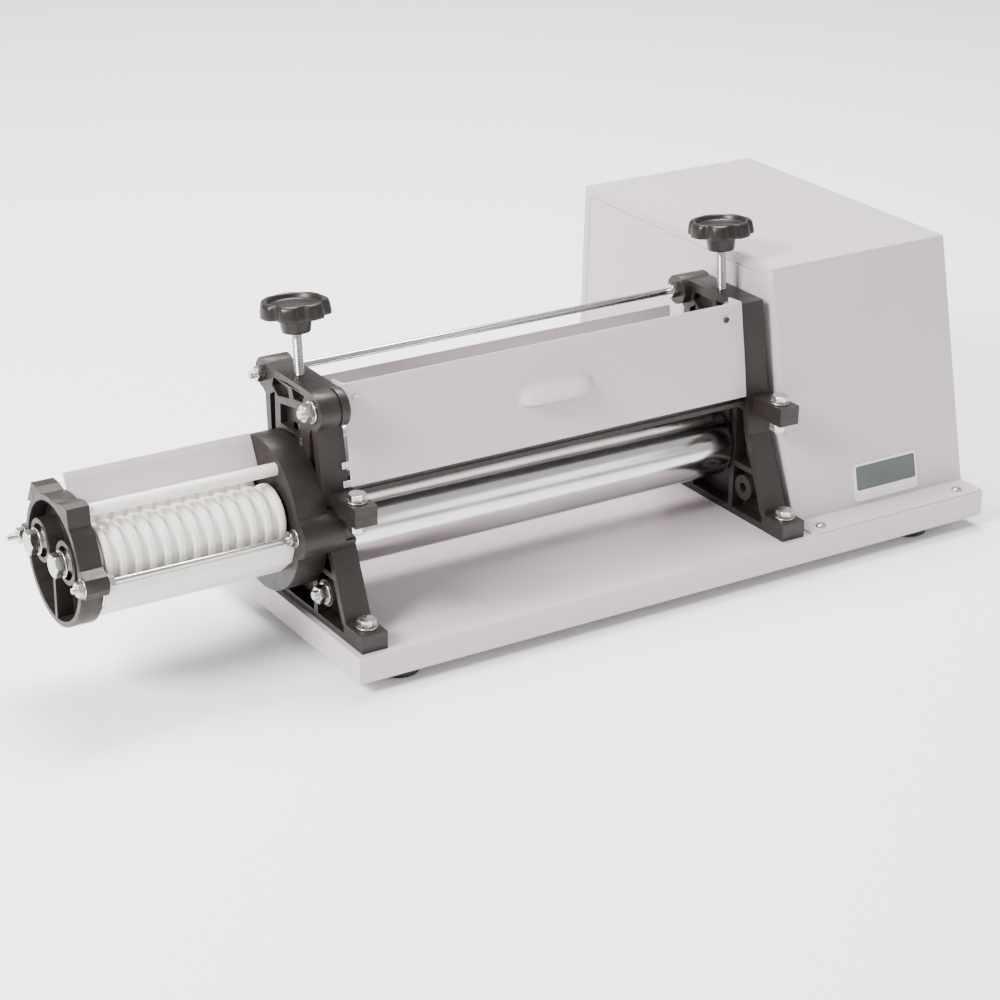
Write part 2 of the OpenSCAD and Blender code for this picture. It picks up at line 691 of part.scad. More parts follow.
// Plate that leads the dough sheet down between the cutting rollers
module cutter_chute() color(white_paint) machine() {
    along_x(cap_x1, case_x0) folded_sheet([[133, 141], [130, 136], [118, 112]], 1.6);
    for (x = [cap_x1, case_x0 - 4]) along_x(x, x + 4)
        polygon([[119.5, 113], [128, 130], [134, 125], [127, 113]]);
}

rings_x0 = (cap_x1 + case_x0 - (ring_count - 1) * ring_pitch - ring_width) / 2;

// Comb: a folded skirt with a finger in each groove of its roller
module comb(fingers_x0, count, mirrored) {
    translate([0, cutter_y, 0]) mirror([0, mirrored ? 1 : 0, 0]) translate([0, -cutter_y, 0]) {
        difference() {
            along_x(cap_x1, case_x0) folded_sheet([[88, 44], [70, 59], [66, 69], [65.4, 76]], 1.8);
            // Notches under the rod nuts
            for (x = [cap_x1 - 1, case_x0 - 6]) translate([x, 60, 74]) cube([7, 8, 3]);
        }
        for (i = [0:count - 1]) translate([fingers_x0 + i * ring_pitch, 0, 0]) along_x(0, ring_width - 1.6)
            polygon([[87.5, 43.8], [70.5, 58], [74.5, 74.5], [78, 70.5], [90, 63]]);
    }
}

module front_comb() color(white_plastic) machine()
    comb(rings_x0 + ring_pitch / 2 + 0.8, ring_count - 1, false);

module rear_comb() color(white_plastic) machine()
    comb(rings_x0 + ring_pitch + 0.8, ring_count - 2, true);

module cutter_bushes() color("tan") machine() for (y = [front_cutter_y, rear_cutter_y]) {
    for (x = [[cap_x0 + 5, cap_x1], [case_x0, case_x0 + case_face]]) difference() {
        x_cylinder(x[0], x[1], cutter_bush_radius, y, cutter_axis_z);
        x_cylinder(x[0] - 1, x[1] + 1, cutter_shaft_radius + fit, y, cutter_axis_z);
    }
}

module cutting_roller(x0, count, shaft_end, y) {
    x_cylinder(cap_x0 - 2, shaft_end, cutter_shaft_radius, y, cutter_axis_z);
    x_cylinder(cap_x1 + 1, case_x0 - 1, core_radius, y, cutter_axis_z);
    for (i = [0:count - 1])
        x_cylinder(x0 + i * ring_pitch, x0 + i * ring_pitch + ring_width, ring_radius, y, cutter_axis_z);
}

module front_cutter() color(white_plastic) machine() cutting_roller(rings_x0, ring_count, 2, front_cutter_y);

module rear_cutter() color(white_plastic) machine()
    cutting_roller(rings_x0 + ring_pitch / 2, ring_count - 1, -7, rear_cutter_y);

module front_cutter_gears() color(steel) machine() {
    gear(cutter_module, cutter_teeth, front_phase, cutter_gear_x, drive_gear_x,
        front_cutter_y, cutter_axis_z, cutter_shaft_radius);
    gear(drive_module, driven_teeth, driven_phase, drive_gear_x, drive_gear_end,
        front_cutter_y, cutter_axis_z, cutter_shaft_radius);
}

module rear_cutter_gear() color(steel) machine()
    gear(cutter_module, cutter_teeth, rear_phase, cutter_gear_x, drive_gear_x,
        rear_cutter_y, cutter_axis_z, cutter_shaft_radius);

// Hex bolt and washer on the free end of a cutting roller's shaft
module cutter_end_bolt(y) {
    x_cylinder(cap_x0 - 3.6, cap_x0 - 2, 10.5, y, cutter_axis_z);
    hex_x(cap_x0 - 10.5, cap_x0 - 3.6, 17, y, cutter_axis_z);
}

module front_cutter_bolt() color(zinc) machine() cutter_end_bolt(front_cutter_y);

module rear_cutter_bolt() color(zinc) machine() cutter_end_bolt(rear_cutter_y);

// ---- drive housing ----

function front_y(z) = front_foot_y + (front_top_y - front_foot_y) * z / housing_height;
function back_y(z) = back_foot_y + (back_top_y - back_foot_y) * z / housing_height;

module housing_outline(inset, foot) {
    slope = norm([housing_height, front_top_y - front_foot_y]) / housing_height;
    top = housing_height - inset;
    polygon([[front_y(foot) + inset * slope, foot], [front_y(top) + inset * slope, top],
        [back_y(top) - inset, top], [back_y(foot) - inset, foot]]);
}

// Folded cover: front, top and back in one sheet, with narrow lips round both ends
module housing_cover() color(white_paint) machine() difference() {
    union() {
        difference() {
            along_x(housing_x, base_length) housing_outline(0, 0);
            along_x(housing_x + sheet, base_length - sheet) housing_outline(sheet, -1);
            along_x(housing_x - 1, base_length + 1) housing_outline(lip, -1);
        }
        along_x(housing_x, base_length)
            polygon([[flange_front, 0], [flange_front, sheet], [front_y(sheet) + 1, sheet], [front_y(0) + 1, 0]]);
    }
    gland_cylinder(-20, 20, gland_radius);
    for (p = flange_screw_spots) z_cylinder(p.x, p.y, -1, sheet + 1, flange_screw_radius + hole_gap);
}

// Slot, open at the foot, that lets the plate go on over both roller shafts
module shaft_slot() translate([(lower_y + upper_y) / 2, 0]) {
    translate([0, upper_z]) circle(r = shaft_slot_radius);
    translate([-shaft_slot_radius, -2]) square([2 * shaft_slot_radius, upper_z + 2]);
}

module side_plate(x0) along_x(x0, x0 + sheet) housing_outline(lip + seam, 0);

module housing_left_plate() color(white_paint) machine() difference() {
    union() {
        side_plate(housing_x);
        translate([housing_x, front_y(0) + 20, 0]) cube([14, 250, sheet]);
    }
    along_x(housing_x - 1, housing_x + 15) shaft_slot();
}

module housing_right_plate() color(white_paint) machine() difference() {
    union() {
        side_plate(base_length - sheet);
        translate([base_length - 14, front_y(0) + 20, 0]) cube([14, 250, sheet]);
    }
    translate([base_length - sheet - 1, switch_y - 10, switch_z - 14]) cube([sheet + 2, 20, 28]);
}

module housing_screws() color(zinc) machine() {
    for (p = flange_screw_spots) {
        z_cylinder(p.x, p.y, sheet, sheet + 2.6, 4.5);
        z_cylinder(p.x, p.y, -sheet - 4, sheet, flange_screw_radius);
    }
    for (y = [90, 330], z = [14, 180]) x_cylinder(base_length, base_length + 2.2, 4, y + z * 0.06, z);
}

// Blank badge on the lower right of the front face
module badge_plate() color("gray") machine() {
    slope = atan((front_top_y - front_foot_y) / housing_height);
    translate([badge_x, front_foot_y, 0]) rotate([-slope, 0, 0])
        translate([0, -1, badge_foot]) cube([badge_width, 1, badge_height]);
}

module gear_bracket() color(steel) machine() difference() {
    union() {
        for (x = [bracket_x0, bracket_x1]) along_x(x, x + bracket_plate)
            polygon([[80, 0], [80, 75], [130, 122], [180, 122], [205, 80], [205, 0]]);
        translate([bracket_x0, 80, 0]) cube([bracket_x1 + bracket_plate - bracket_x0, 125, 4]);
    }
    x_cylinder(bracket_x0 - 1, bracket_x0 + bracket_plate + 1, 14, lower_y, lower_z);
    x_cylinder(bracket_x0 - 1, bracket_x1 + bracket_plate + 1, 12, lay_y, lay_z);
}

module bush(x0, x1, outer, inner, y, z) difference() {
    x_cylinder(x0, x1, outer, y, z);
    x_cylinder(x0 - 1, x1 + 1, inner + fit, y, z);
}

module bracket_bushes() color("tan") machine() {
    bush(bracket_x0, bracket_x0 + bracket_plate, 14, shaft_radius, lower_y, lower_z);
    for (x = [bracket_x0, bracket_x1]) bush(x, x + bracket_plate, 12, lay_radius, lay_y, lay_z);
}

module motor_body() color(steel) machine() difference() {
    union() {
        x_cylinder(motor_x0, motor_x1, motor_radius - 3, motor_y, motor_z);
        for (x = [motor_x0, motor_x1 - 14]) x_cylinder(x, x + 14, motor_radius, motor_y, motor_z);
        for (a = [40:20:320]) translate([motor_x0 + 12, motor_y, motor_z]) rotate([a, 0, 0])
            translate([0, -1, 30]) cube([motor_x1 - motor_x0 - 24, 2, motor_radius - 31.5]);
        translate([motor_x0 + 30, motor_y - 22, motor_z + motor_radius - 6]) cube([50, 44, 24]);
    }
    x_cylinder(motor_x1 - 60, motor_x1 + 1, motor_shaft_radius + fit, motor_y, motor_z);
}

module motor_mount() color(black) machine() difference() {
    translate([motor_x0 + 18, motor_y - 46, 0]) cube([motor_x1 - motor_x0 - 36, 92, 30]);
    x_cylinder(motor_x0, motor_x1, motor_radius + 0.2, motor_y, motor_z);
    translate([motor_x0 + 30, motor_y - 60, 6]) cube([motor_x1 - motor_x0 - 60, 120, 30]);
}

module pulley(inner, y, z, bore) difference() {
    turned([[bore, pulley_x], [inner + belt_thick + 1, pulley_x],
        [inner + belt_thick + 1, pulley_x + 2.5], [inner - 0.4, pulley_x + 2.5],
        [inner - 0.4, pulley_x + pulley_width - 2.5], [inner + belt_thick + 1, pulley_x + pulley_width - 2.5],
        [inner + belt_thick + 1, pulley_x + pulley_width], [bore, pulley_x + pulley_width]], y, z);
}

module motor_shaft() color(zinc) machine() {
    x_cylinder(motor_x1 - 55, pulley_x + pulley_width + 3, motor_shaft_radius, motor_y, motor_z);
    pulley(small_pulley, motor_y, motor_z, motor_shaft_radius - 0.5);
}

module belt_path(extra) hull() {
    translate([lay_y, lay_z]) circle(r = big_pulley + extra);
    translate([motor_y, motor_z]) circle(r = small_pulley + extra);
}

module drive_belt() color(black) machine()
    along_x(pulley_x + (pulley_width - belt_width) / 2, pulley_x + (pulley_width + belt_width) / 2) difference() {
        belt_path(belt_thick);
        belt_path(0);
    }

module layshaft() color(zinc) machine() {
    x_cylinder(main_x - 4, pulley_x + pulley_width + 4, lay_radius, lay_y, lay_z);
    gear(main_module, pinion_teeth, pinion_phase, main_x - 1, main_x + main_width + 1, lay_y, lay_z, lay_radius - 0.5);
    difference() {
        pulley(big_pulley, lay_y, lay_z, lay_radius - 0.5);
        for (a = [0:72:288])
            x_cylinder(pulley_x - 1, pulley_x + pulley_width + 1, 13, lay_y + 32 * cos(a), lay_z + 32 * sin(a));
    }
}

module switch_body() color(black) machine() difference() {
    union() {
        translate([base_length, switch_y - 13, switch_z - 17]) cube([2, 26, 34]);
        translate([base_length - 18, switch_y - 9.8, switch_z - 13.8]) cube([18, 19.6, 27.6]);
    }
    translate([base_length - 9, switch_y - 7.3, switch_z - 11.8]) cube([12, 14.6, 23.6]);
    translate([base_length - 2, switch_y, switch_z]) rotate([90, 0, 0]) cylinder(h = 18, r = 1.5 + fit, center = true);
}

module switch_rocker() color([0.75, 0.1, 0.1]) machine()
    translate([base_length - 2, switch_y, switch_z]) rotate([0, -switch_tilt, 0]) {
        translate([-2, -7, -11]) cube([6.5, 14, 22]);
        rotate([90, 0, 0]) cylinder(h = 17.4, r = 1.5, center = true);
    }

// A cylinder on the gland's axis; y0 and y1 are measured back from the cover's foot
module gland_cylinder(y0, y1, r, fn = 64)
    translate([gland_x, back_foot_y + y0, gland_z]) rotate([-90, 0, 0]) cylinder(h = y1 - y0, r = r, $fn = fn);

// Threaded body, a nut on each side of the cover and a narrower seal at the outer end
module cable_gland() color(black) machine() difference() {
    union() {
        gland_cylinder(-9, 15, gland_radius - 0.1);
        for (y = [-9, 0]) gland_cylinder(y, y + 6, gland_radius + 5, 6);
    }
    gland_cylinder(-10, 3, cable_hole_radius + 0.85);
    gland_cylinder(2, 16, cable_hole_radius);
}

// ---- every node ----

base_tray();
rubber_feet();
foot_bolts();
left_lower_frame();
left_upper_frame();
right_lower_frame();
right_upper_frame();
clamp_bolts();
rear_studs();
frame_side_bolts();
rear_tie_rod();
tie_rod_nuts();
roller_bushes();
feed_chute();
roller_scraper();
lower_roller();
lower_pair_gear();
main_gear();
cutter_drive_gear();
upper_roller();
upper_pair_gear();
left_bearing_block();
right_bearing_block();
left_screw();
left_knob();
right_screw();
right_knob();
guard();
guard_pivots();
cutter_gear_case();
cutter_end_cap();
cutter_tie_rods();
cutter_rod_nuts();
cutter_front_bar();
cutter_chute();
front_comb();
rear_comb();
cutter_bushes();
front_cutter();
front_cutter_gears();
front_cutter_bolt();
rear_cutter();
rear_cutter_gear();
rear_cutter_bolt();
housing_cover();
housing_left_plate();
housing_right_plate();
housing_screws();
badge_plate();
gear_bracket();
bracket_bushes();
motor_body();
motor_mount();
motor_shaft();
drive_belt();
layshaft();
switch_body();
switch_rocker();
cable_gland();
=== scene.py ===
"""Looks for the motor-driven dough sheeter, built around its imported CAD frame."""

import json
import math

import bmesh
import bpy
from mathutils import Matrix, Vector


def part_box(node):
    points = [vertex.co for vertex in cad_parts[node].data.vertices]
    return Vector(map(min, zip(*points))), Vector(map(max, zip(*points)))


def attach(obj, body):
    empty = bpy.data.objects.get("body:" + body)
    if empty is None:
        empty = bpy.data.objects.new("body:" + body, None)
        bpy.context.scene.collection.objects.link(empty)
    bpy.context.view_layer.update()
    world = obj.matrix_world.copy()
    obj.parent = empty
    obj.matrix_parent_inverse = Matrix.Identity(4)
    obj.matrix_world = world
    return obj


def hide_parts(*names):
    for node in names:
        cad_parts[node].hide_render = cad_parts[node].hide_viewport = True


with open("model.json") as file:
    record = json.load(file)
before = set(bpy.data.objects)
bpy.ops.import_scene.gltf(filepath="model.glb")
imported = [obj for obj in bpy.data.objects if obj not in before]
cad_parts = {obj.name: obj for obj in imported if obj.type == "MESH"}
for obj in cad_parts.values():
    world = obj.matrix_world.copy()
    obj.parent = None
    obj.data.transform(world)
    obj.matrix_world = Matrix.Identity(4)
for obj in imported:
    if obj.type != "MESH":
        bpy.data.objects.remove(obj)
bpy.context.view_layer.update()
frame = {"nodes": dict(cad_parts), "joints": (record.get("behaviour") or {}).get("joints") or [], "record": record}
MM = 0.001

# ---------------------------------------------------------------- camera, floor, light

CAMERA_PLACE = Vector((-1.0327, -1.6706, 0.9046))
CAMERA_YAW = math.radians(32.60)
CAMERA_PITCH = math.radians(23.68)
CAMERA_ROLL = math.radians(0.84)
LENS_MM = 91.0


def make_camera():
    """A camera at the photograph's viewing angle."""
    cos_pitch = math.cos(CAMERA_PITCH)
    ahead = Vector((math.sin(CAMERA_YAW) * cos_pitch, math.cos(CAMERA_YAW) * cos_pitch, -math.sin(CAMERA_PITCH)))
    right = ahead.cross(Vector((0, 0, 1))).normalized()
    up = right.cross(ahead)
    across = right * math.cos(CAMERA_ROLL) + up * math.sin(CAMERA_ROLL)
    upward = up * math.cos(CAMERA_ROLL) - right * math.sin(CAMERA_ROLL)
    data = bpy.data.cameras.new("camera")
    data.lens = LENS_MM
    data.sensor_width = 36
    data.clip_end = 20
    camera = bpy.data.objects.new("camera", data)
    bpy.context.collection.objects.link(camera)
    turn = Matrix((across, upward, -ahead)).transposed().to_4x4()
    camera.matrix_world = Matrix.Translation(CAMERA_PLACE) @ turn
    bpy.context.scene.camera = camera


def link_mesh(name, bm):
    """A new object from a bmesh, linked to the scene."""
    mesh = bpy.data.meshes.new(name)
    bm.to_mesh(mesh)
    bm.free()
    thing = bpy.data.objects.new(name, mesh)
    bpy.context.collection.objects.link(thing)
    return thing


def area_light(name, place, target, size, power):
    """A soft square light that points at target."""
    data = bpy.data.lights.new(name, "AREA")
    data.shape = "RECTANGLE"
    data.size, data.size_y = size
    data.energy = power
    light = bpy.data.objects.new(name, data)
    light.location = place
    light.rotation_euler = (Vector(target) - Vector(place)).to_track_quat("-Z", "Y").to_euler()
    bpy.context.collection.objects.link(light)
    return light


def make_studio():
    """Pale floor, soft key and fill lights and a white surrounding."""
    bm = bmesh.new()
    bmesh.ops.create_grid(bm, x_segments=1, y_segments=1, size=6)
    floor = link_mesh("floor", bm)
    floor.location.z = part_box("rubber_feet")[0].z - 0.0005
    paint = bpy.data.materials.new("floor_paint")
    paint.use_nodes = True
    surface = paint.node_tree.nodes["Principled BSDF"]
    surface.inputs["Base Color"].default_value = (0.93, 0.93, 0.93, 1)
    surface.inputs["Roughness"].default_value = 0.9
    surface.inputs["Specular IOR Level"].default_value = 0.1
    floor.data.materials.append(paint)

    world = bpy.data.worlds.new("studio")
    bpy.context.scene.world = world
    world.use_nodes = True
    world.node_tree.nodes["Background"].inputs["Color"].default_value = (1, 1, 1, 1)
    world.node_tree.nodes["Background"].inputs["Strength"].default_value = 0.75
    area_light("key", (-2.3, -0.4, 1.9), (0.1, 0, 0.1), (1.0, 1.0), 190)
    area_light("fill", (1.4, -2.6, 1.0), (0.1, 0, 0.1), (1.4, 1.0), 10)
    area_light("top", (0.4, 0.8, 2.6), (0.1, 0, 0.1), (1.6, 1.0), 175)


make_camera()
make_studio()

# ---------------------------------------------------------------- materials


class Shader:
    """Builds one procedural material around a Principled shader."""

    def __init__(self, name):
        self.material = bpy.data.materials.new(name)
        self.material.use_nodes = True
        self.tree = self.material.node_tree
        self.surface = self.tree.nodes["Principled BSDF"]
        self.place = self.tree.nodes.new("ShaderNodeTexCoord").outputs["Object"]

    def set(self, **values):
        for name, value in values.items():
            self.surface.inputs[name.replace("_", " ")].default_value = value

    def scaled(self, stretch):
        node = self.tree.nodes.new("ShaderNodeMapping")
        node.inputs["Scale"].default_value = stretch
        self.tree.links.new(self.place, node.inputs["Vector"])
        return node.outputs["Vector"]

    def noise(self, scale, detail=3.0, roughness=0.5, stretch=(1, 1, 1)):
        node = self.tree.nodes.new("ShaderNodeTexNoise")
        node.inputs["Scale"].default_value = scale
        node.inputs["Detail"].default_value = detail
        node.inputs["Roughness"].default_value = roughness
        self.tree.links.new(self.scaled(stretch), node.inputs["Vector"])
        return node.outputs["Fac"]

    def ramp(self, source, low, high, start, end):
        """Maps source from low..high to start..end, where start and end are numbers."""
        node = self.tree.nodes.new("ShaderNodeMapRange")
        node.inputs["From Min"].default_value = low
        node.inputs["From Max"].default_value = high
        node.inputs["To Min"].default_value = start
        node.inputs["To Max"].default_value = end
        self.tree.links.new(source, node.inputs["Value"])
        return node.outputs["Result"]

    def colours(self, source, first, second, low=0.3, high=0.7):
        """A mix of two colours that follows source."""
        node = self.tree.nodes.new("ShaderNodeMix")
        node.data_type = "RGBA"
        node.inputs["A"].default_value = (*first, 1)
        node.inputs["B"].default_value = (*second, 1)
        self.tree.links.new(self.ramp(source, low, high, 0, 1), node.inputs["Factor"])
        return node.outputs["Result"]

    def edges(self, radius, low, high):
        """0 on flat faces, rising to 1 where an outer edge is worn."""
        node = self.tree.nodes.new("ShaderNodeNewGeometry")
        return self.ramp(node.outputs["Pointiness"], low, high, 0, 1)

    def link(self, source, socket):
        self.tree.links.new(source, self.surface.inputs[socket])

    def bump(self, source, strength, distance, before=None):
        node = self.tree.nodes.new("ShaderNodeBump")
        node.inputs["Strength"].default_value = strength
        node.inputs["Distance"].default_value = distance
        self.tree.links.new(source, node.inputs["Height"])
        if before is not None:
            self.tree.links.new(before, node.inputs["Normal"])
        return node.outputs["Normal"]


def powder_coat():
    """White powder coat on sheet steel: faint orange peel, soft gloss."""
    s = Shader("powder_coat")
    clouds = s.noise(7, 4)
    peel = s.noise(900, 2)
    s.link(s.colours(clouds, (0.505, 0.430, 0.475), (0.53, 0.455, 0.50)), "Base Color")
    s.link(s.ramp(s.noise(60, 4), 0.3, 0.7, 0.30, 0.40), "Roughness")
    s.link(s.bump(peel, 0.10, 0.0002), "Normal")
    s.set(Specular_IOR_Level=0.45, Coat_Weight=0.25, Coat_Roughness=0.18)
    return s.material


def black_casting():
    """Black moulded casting: fine pebbled grain, dusty highlights."""
    s = Shader("black_casting")
    patches = s.noise(25, 5)
    grain = s.noise(1400, 2)
    s.link(s.colours(patches, (0.0100, 0.0074, 0.0066), (0.0170, 0.0130, 0.0118)), "Base Color")
    s.link(s.ramp(s.noise(180, 4), 0.3, 0.7, 0.36, 0.50), "Roughness")
    s.link(s.bump(grain, 0.25, 0.0002, s.bump(s.noise(90, 3), 0.12, 0.0005)), "Normal")
    s.set(Specular_IOR_Level=0.38, Specular_Tint=(1.0, 0.93, 0.90, 1.0))
    return s.material


def knob_plastic():
    """Black moulded knob with a soft sheen."""
    s = Shader("knob_plastic")
    s.link(s.colours(s.noise(40, 4), (0.0070, 0.0054, 0.0049), (0.0115, 0.0092, 0.0084)), "Base Color")
    s.link(s.ramp(s.noise(120, 4), 0.3, 0.7, 0.32, 0.42), "Roughness")
    s.link(s.bump(s.noise(800, 2), 0.15, 0.0002), "Normal")
    s.set(Specular_IOR_Level=0.40, Specular_Tint=(1.0, 0.93, 0.90, 1.0))
    return s.material


def zinc_plate():
    """Bright zinc plate with blotches and fine turning marks."""
    s = Shader("zinc_plate")
    blotch = s.noise(60, 3)
    s.link(s.colours(blotch, (0.50, 0.485, 0.46), (0.58, 0.565, 0.54)), "Base Color")
    s.link(s.ramp(s.noise(150, 3), 0.3, 0.7, 0.20, 0.30), "Roughness")
    s.link(s.bump(s.noise(400, 2), 0.03, 0.00005), "Normal")
    s.set(Metallic=1.0)
    return s.material


def ground_chrome():
    """Hard chrome on a ground roller: fine rings round the axis and faint streaks."""
    s = Shader("ground_chrome")
    rings = s.noise(1, 3, 0.6, (2600, 6, 6))
    smear = s.noise(1, 4, 0.5, (22, 60, 60))
    s.link(s.colours(smear, (0.60, 0.59, 0.58), (0.70, 0.69, 0.68)), "Base Color")
    s.link(s.ramp(smear, 0.3, 0.7, 0.13, 0.21), "Roughness")
    s.link(s.bump(rings, 0.12, 0.0001), "Normal")
    s.set(Metallic=1.0)
    return s.material


def cutter_plastic():
    """White food-grade plastic: slightly warm, faintly glowing, fine tool marks."""
    s = Shader("cutter_plastic")
    s.link(s.colours(s.noise(30, 4), (0.72, 0.69, 0.64), (0.77, 0.745, 0.70)), "Base Color")
    s.link(s.ramp(s.noise(140, 4), 0.3, 0.7, 0.30, 0.42), "Roughness")
    s.link(s.bump(s.noise(1, 2, 0.5, (1800, 60, 60)), 0.08, 0.0002), "Normal")
    s.set(Subsurface_Weight=0.12, Subsurface_Radius=(0.003, 0.002, 0.0015), Subsurface_Scale=0.6,
          Specular_IOR_Level=0.5)
    return s.material


def machined_steel():
    """Oiled gear steel with cutter marks."""
    s = Shader("machined_steel")
    s.link(s.colours(s.noise(50, 5), (0.30, 0.295, 0.29), (0.46, 0.455, 0.45)), "Base Color")
    s.link(s.ramp(s.noise(260, 4), 0.3, 0.7, 0.24, 0.42), "Roughness")
    s.link(s.bump(s.noise(1, 3, 0.5, (60, 1500, 1500)), 0.15, 0.0002), "Normal")
    s.set(Metallic=1.0)
    return s.material


def sintered_bronze():
    """Porous bearing bronze."""
    s = Shader("sintered_bronze")
    s.link(s.colours(s.noise(200, 4), (0.40, 0.24, 0.10), (0.58, 0.38, 0.17)), "Base Color")
    s.link(s.ramp(s.noise(500, 3), 0.3, 0.7, 0.35, 0.55), "Roughness")
    s.link(s.bump(s.noise(2200, 2), 0.4, 0.0002), "Normal")
    s.set(Metallic=1.0)
    return s.material


def machined_alloy():
    """Milled aluminium block."""
    s = Shader("machined_alloy")
    s.link(s.colours(s.noise(40, 4), (0.52, 0.53, 0.54), (0.66, 0.67, 0.68)), "Base Color")
    s.link(s.ramp(s.noise(1, 3, 0.5, (900, 40, 900)), 0.3, 0.7, 0.28, 0.42), "Roughness")
    s.link(s.bump(s.noise(1, 2, 0.5, (40, 1200, 60)), 0.15, 0.0002), "Normal")
    s.set(Metallic=1.0)
    return s.material


def machine_enamel():
    """Grey enamel of the motor and its bracket."""
    s = Shader("machine_enamel")
    s.link(s.colours(s.noise(20, 5), (0.10, 0.115, 0.13), (0.15, 0.165, 0.18)), "Base Color")
    s.link(s.ramp(s.noise(90, 4), 0.3, 0.7, 0.32, 0.5), "Roughness")
    s.link(s.bump(s.noise(500, 3), 0.25, 0.0004), "Normal")
    return s.material


def soft_rubber():
    """Matt black rubber with dust in its pores."""
    s = Shader("soft_rubber")
    s.link(s.colours(s.noise(60, 5), (0.014, 0.013, 0.013), (0.030, 0.028, 0.027)), "Base Color")
    s.link(s.ramp(s.noise(300, 4), 0.3, 0.7, 0.62, 0.82), "Roughness")
    s.link(s.bump(s.noise(1100, 3), 0.3, 0.0003), "Normal")
    return s.material


def ribbed_belt():
    """Drive belt rubber with fine woven lines."""
    s = Shader("ribbed_belt")
    s.link(s.colours(s.noise(1, 3, 0.5, (900, 40, 40)), (0.012, 0.012, 0.012), (0.035, 0.034, 0.033)), "Base Color")
    s.link(s.ramp(s.noise(200, 4), 0.3, 0.7, 0.6, 0.8), "Roughness")
    s.link(s.bump(s.noise(1, 2, 0.5, (1200, 60, 60)), 0.4, 0.0004), "Normal")
    return s.material


def badge_paint():
    """Plain grey enamel of the blank badge."""
    s = Shader("badge_paint")
    s.link(s.colours(s.noise(30, 3), (0.060, 0.070, 0.070), (0.072, 0.083, 0.083)), "Base Color")
    s.link(s.ramp(s.noise(150, 4), 0.3, 0.7, 0.38, 0.48), "Roughness")
    s.link(s.bump(s.noise(900, 2), 0.1, 0.0001), "Normal")
    return s.material


def rocker_plastic():
    """Glossy red switch plastic."""
    s = Shader("rocker_plastic")
    s.link(s.colours(s.noise(60, 3), (0.42, 0.018, 0.014), (0.50, 0.025, 0.02)), "Base Color")
    s.link(s.ramp(s.noise(200, 3), 0.3, 0.7, 0.22, 0.32), "Roughness")
    s.link(s.bump(s.noise(900, 2), 0.1, 0.0001), "Normal")
    return s.material


PAINT = {
    "white_sheet": powder_coat(),
    "black_casting": black_casting(),
    "black_rubber": soft_rubber(),
    "zinc": zinc_plate(),
    "chrome_roller": ground_chrome(),
    "cutter_white": cutter_plastic(),
    "gear_steel": machined_steel(),
    "bush_bronze": sintered_bronze(),
    "block_alloy": machined_alloy(),
    "knob_black": knob_plastic(),
    "motor_paint": machine_enamel(),
    "belt_rubber": ribbed_belt(),
    "badge_grey": badge_paint(),
    "rocker_red": rocker_plastic(),
}
SLOT_OF = {part["node"]: part["material_slot"] for part in frame["record"]["subparts"]}


def soften(thing, width, segments=3, angle=32):
    """Rounds a piece's hard edges and keeps its flats flat."""
    weld = thing.modifiers.new("weld", "WELD")
    weld.merge_threshold = 0.00002
    flat = thing.modifiers.new("join_flats", "DECIMATE")
    flat.decimate_type = "DISSOLVE"
    flat.angle_limit = math.radians(0.2)
    bevel = thing.modifiers.new("round", "BEVEL")
    bevel.width = width
    bevel.segments = segments
    bevel.limit_method = "ANGLE"
    bevel.angle_limit = math.radians(angle)
    bevel.harden_normals = True
    bevel.use_clamp_overlap = True


EDGE = {
    "white_sheet": 0.0006, "black_casting": 0.0010, "black_rubber": 0.0012, "zinc": 0.0004,
    "chrome_roller": 0.0004, "cutter_white": 0.0008, "gear_steel": 0.0003, "bush_bronze": 0.0003,
    "block_alloy": 0.0005, "knob_black": 0.0012, "motor_paint": 0.0008, "belt_rubber": 0.0004,
    "badge_grey": 0.0003, "rocker_red": 0.0006,
}


EDGE_OF = {"front_cutter": 0.0014, "rear_cutter": 0.0014, "cutter_end_cap": 0.0014, "cutter_gear_case": 0.0014}


def smooth_flags(thing, widest=0.009, flattest=0.5, sharpest=30.0):
    """Marks the narrow facets of curved faces smooth and leaves the big flats flat."""
    mesh = thing.data
    ids, spots = [], {}
    for v in mesh.vertices:
        key = (round(v.co.x * 1e5), round(v.co.y * 1e5), round(v.co.z * 1e5))
        ids.append(spots.setdefault(key, len(spots)))
    edges = {}
    for face in mesh.polygons:
        corners = [ids[v] for v in face.vertices]
        for a, b in zip(corners, corners[1:] + corners[:1]):
            edges.setdefault((min(a, b), max(a, b)), []).append(face)
    place = {ids[v.index]: v.co for v in mesh.vertices}
    curved = set()
    low, high = math.cos(math.radians(sharpest)), math.cos(math.radians(flattest))
    for (a, b), faces in edges.items():
        length = (place[a] - place[b]).length
        if len(faces) != 2 or length < 1e-7 or not low < faces[0].normal.dot(faces[1].normal) < high:
            continue
        if max(2 * face.area / length for face in faces) < widest:
            curved.update(face.index for face in faces)
    mesh.polygons.foreach_set("use_smooth", [face.index in curved for face in mesh.polygons])


def paint_cad_nodes():
    """Every carried-over node gets its slot's material and softened edges."""
    for name, thing in frame["nodes"].items():
        slot = SLOT_OF[name]
        thing.data.materials.clear()
        thing.data.materials.append(PAINT[slot])
        smooth_flags(thing)
        soften(thing, EDGE_OF.get(name, EDGE[slot]))


paint_cad_nodes()

# ---------------------------------------------------------------- making new pieces


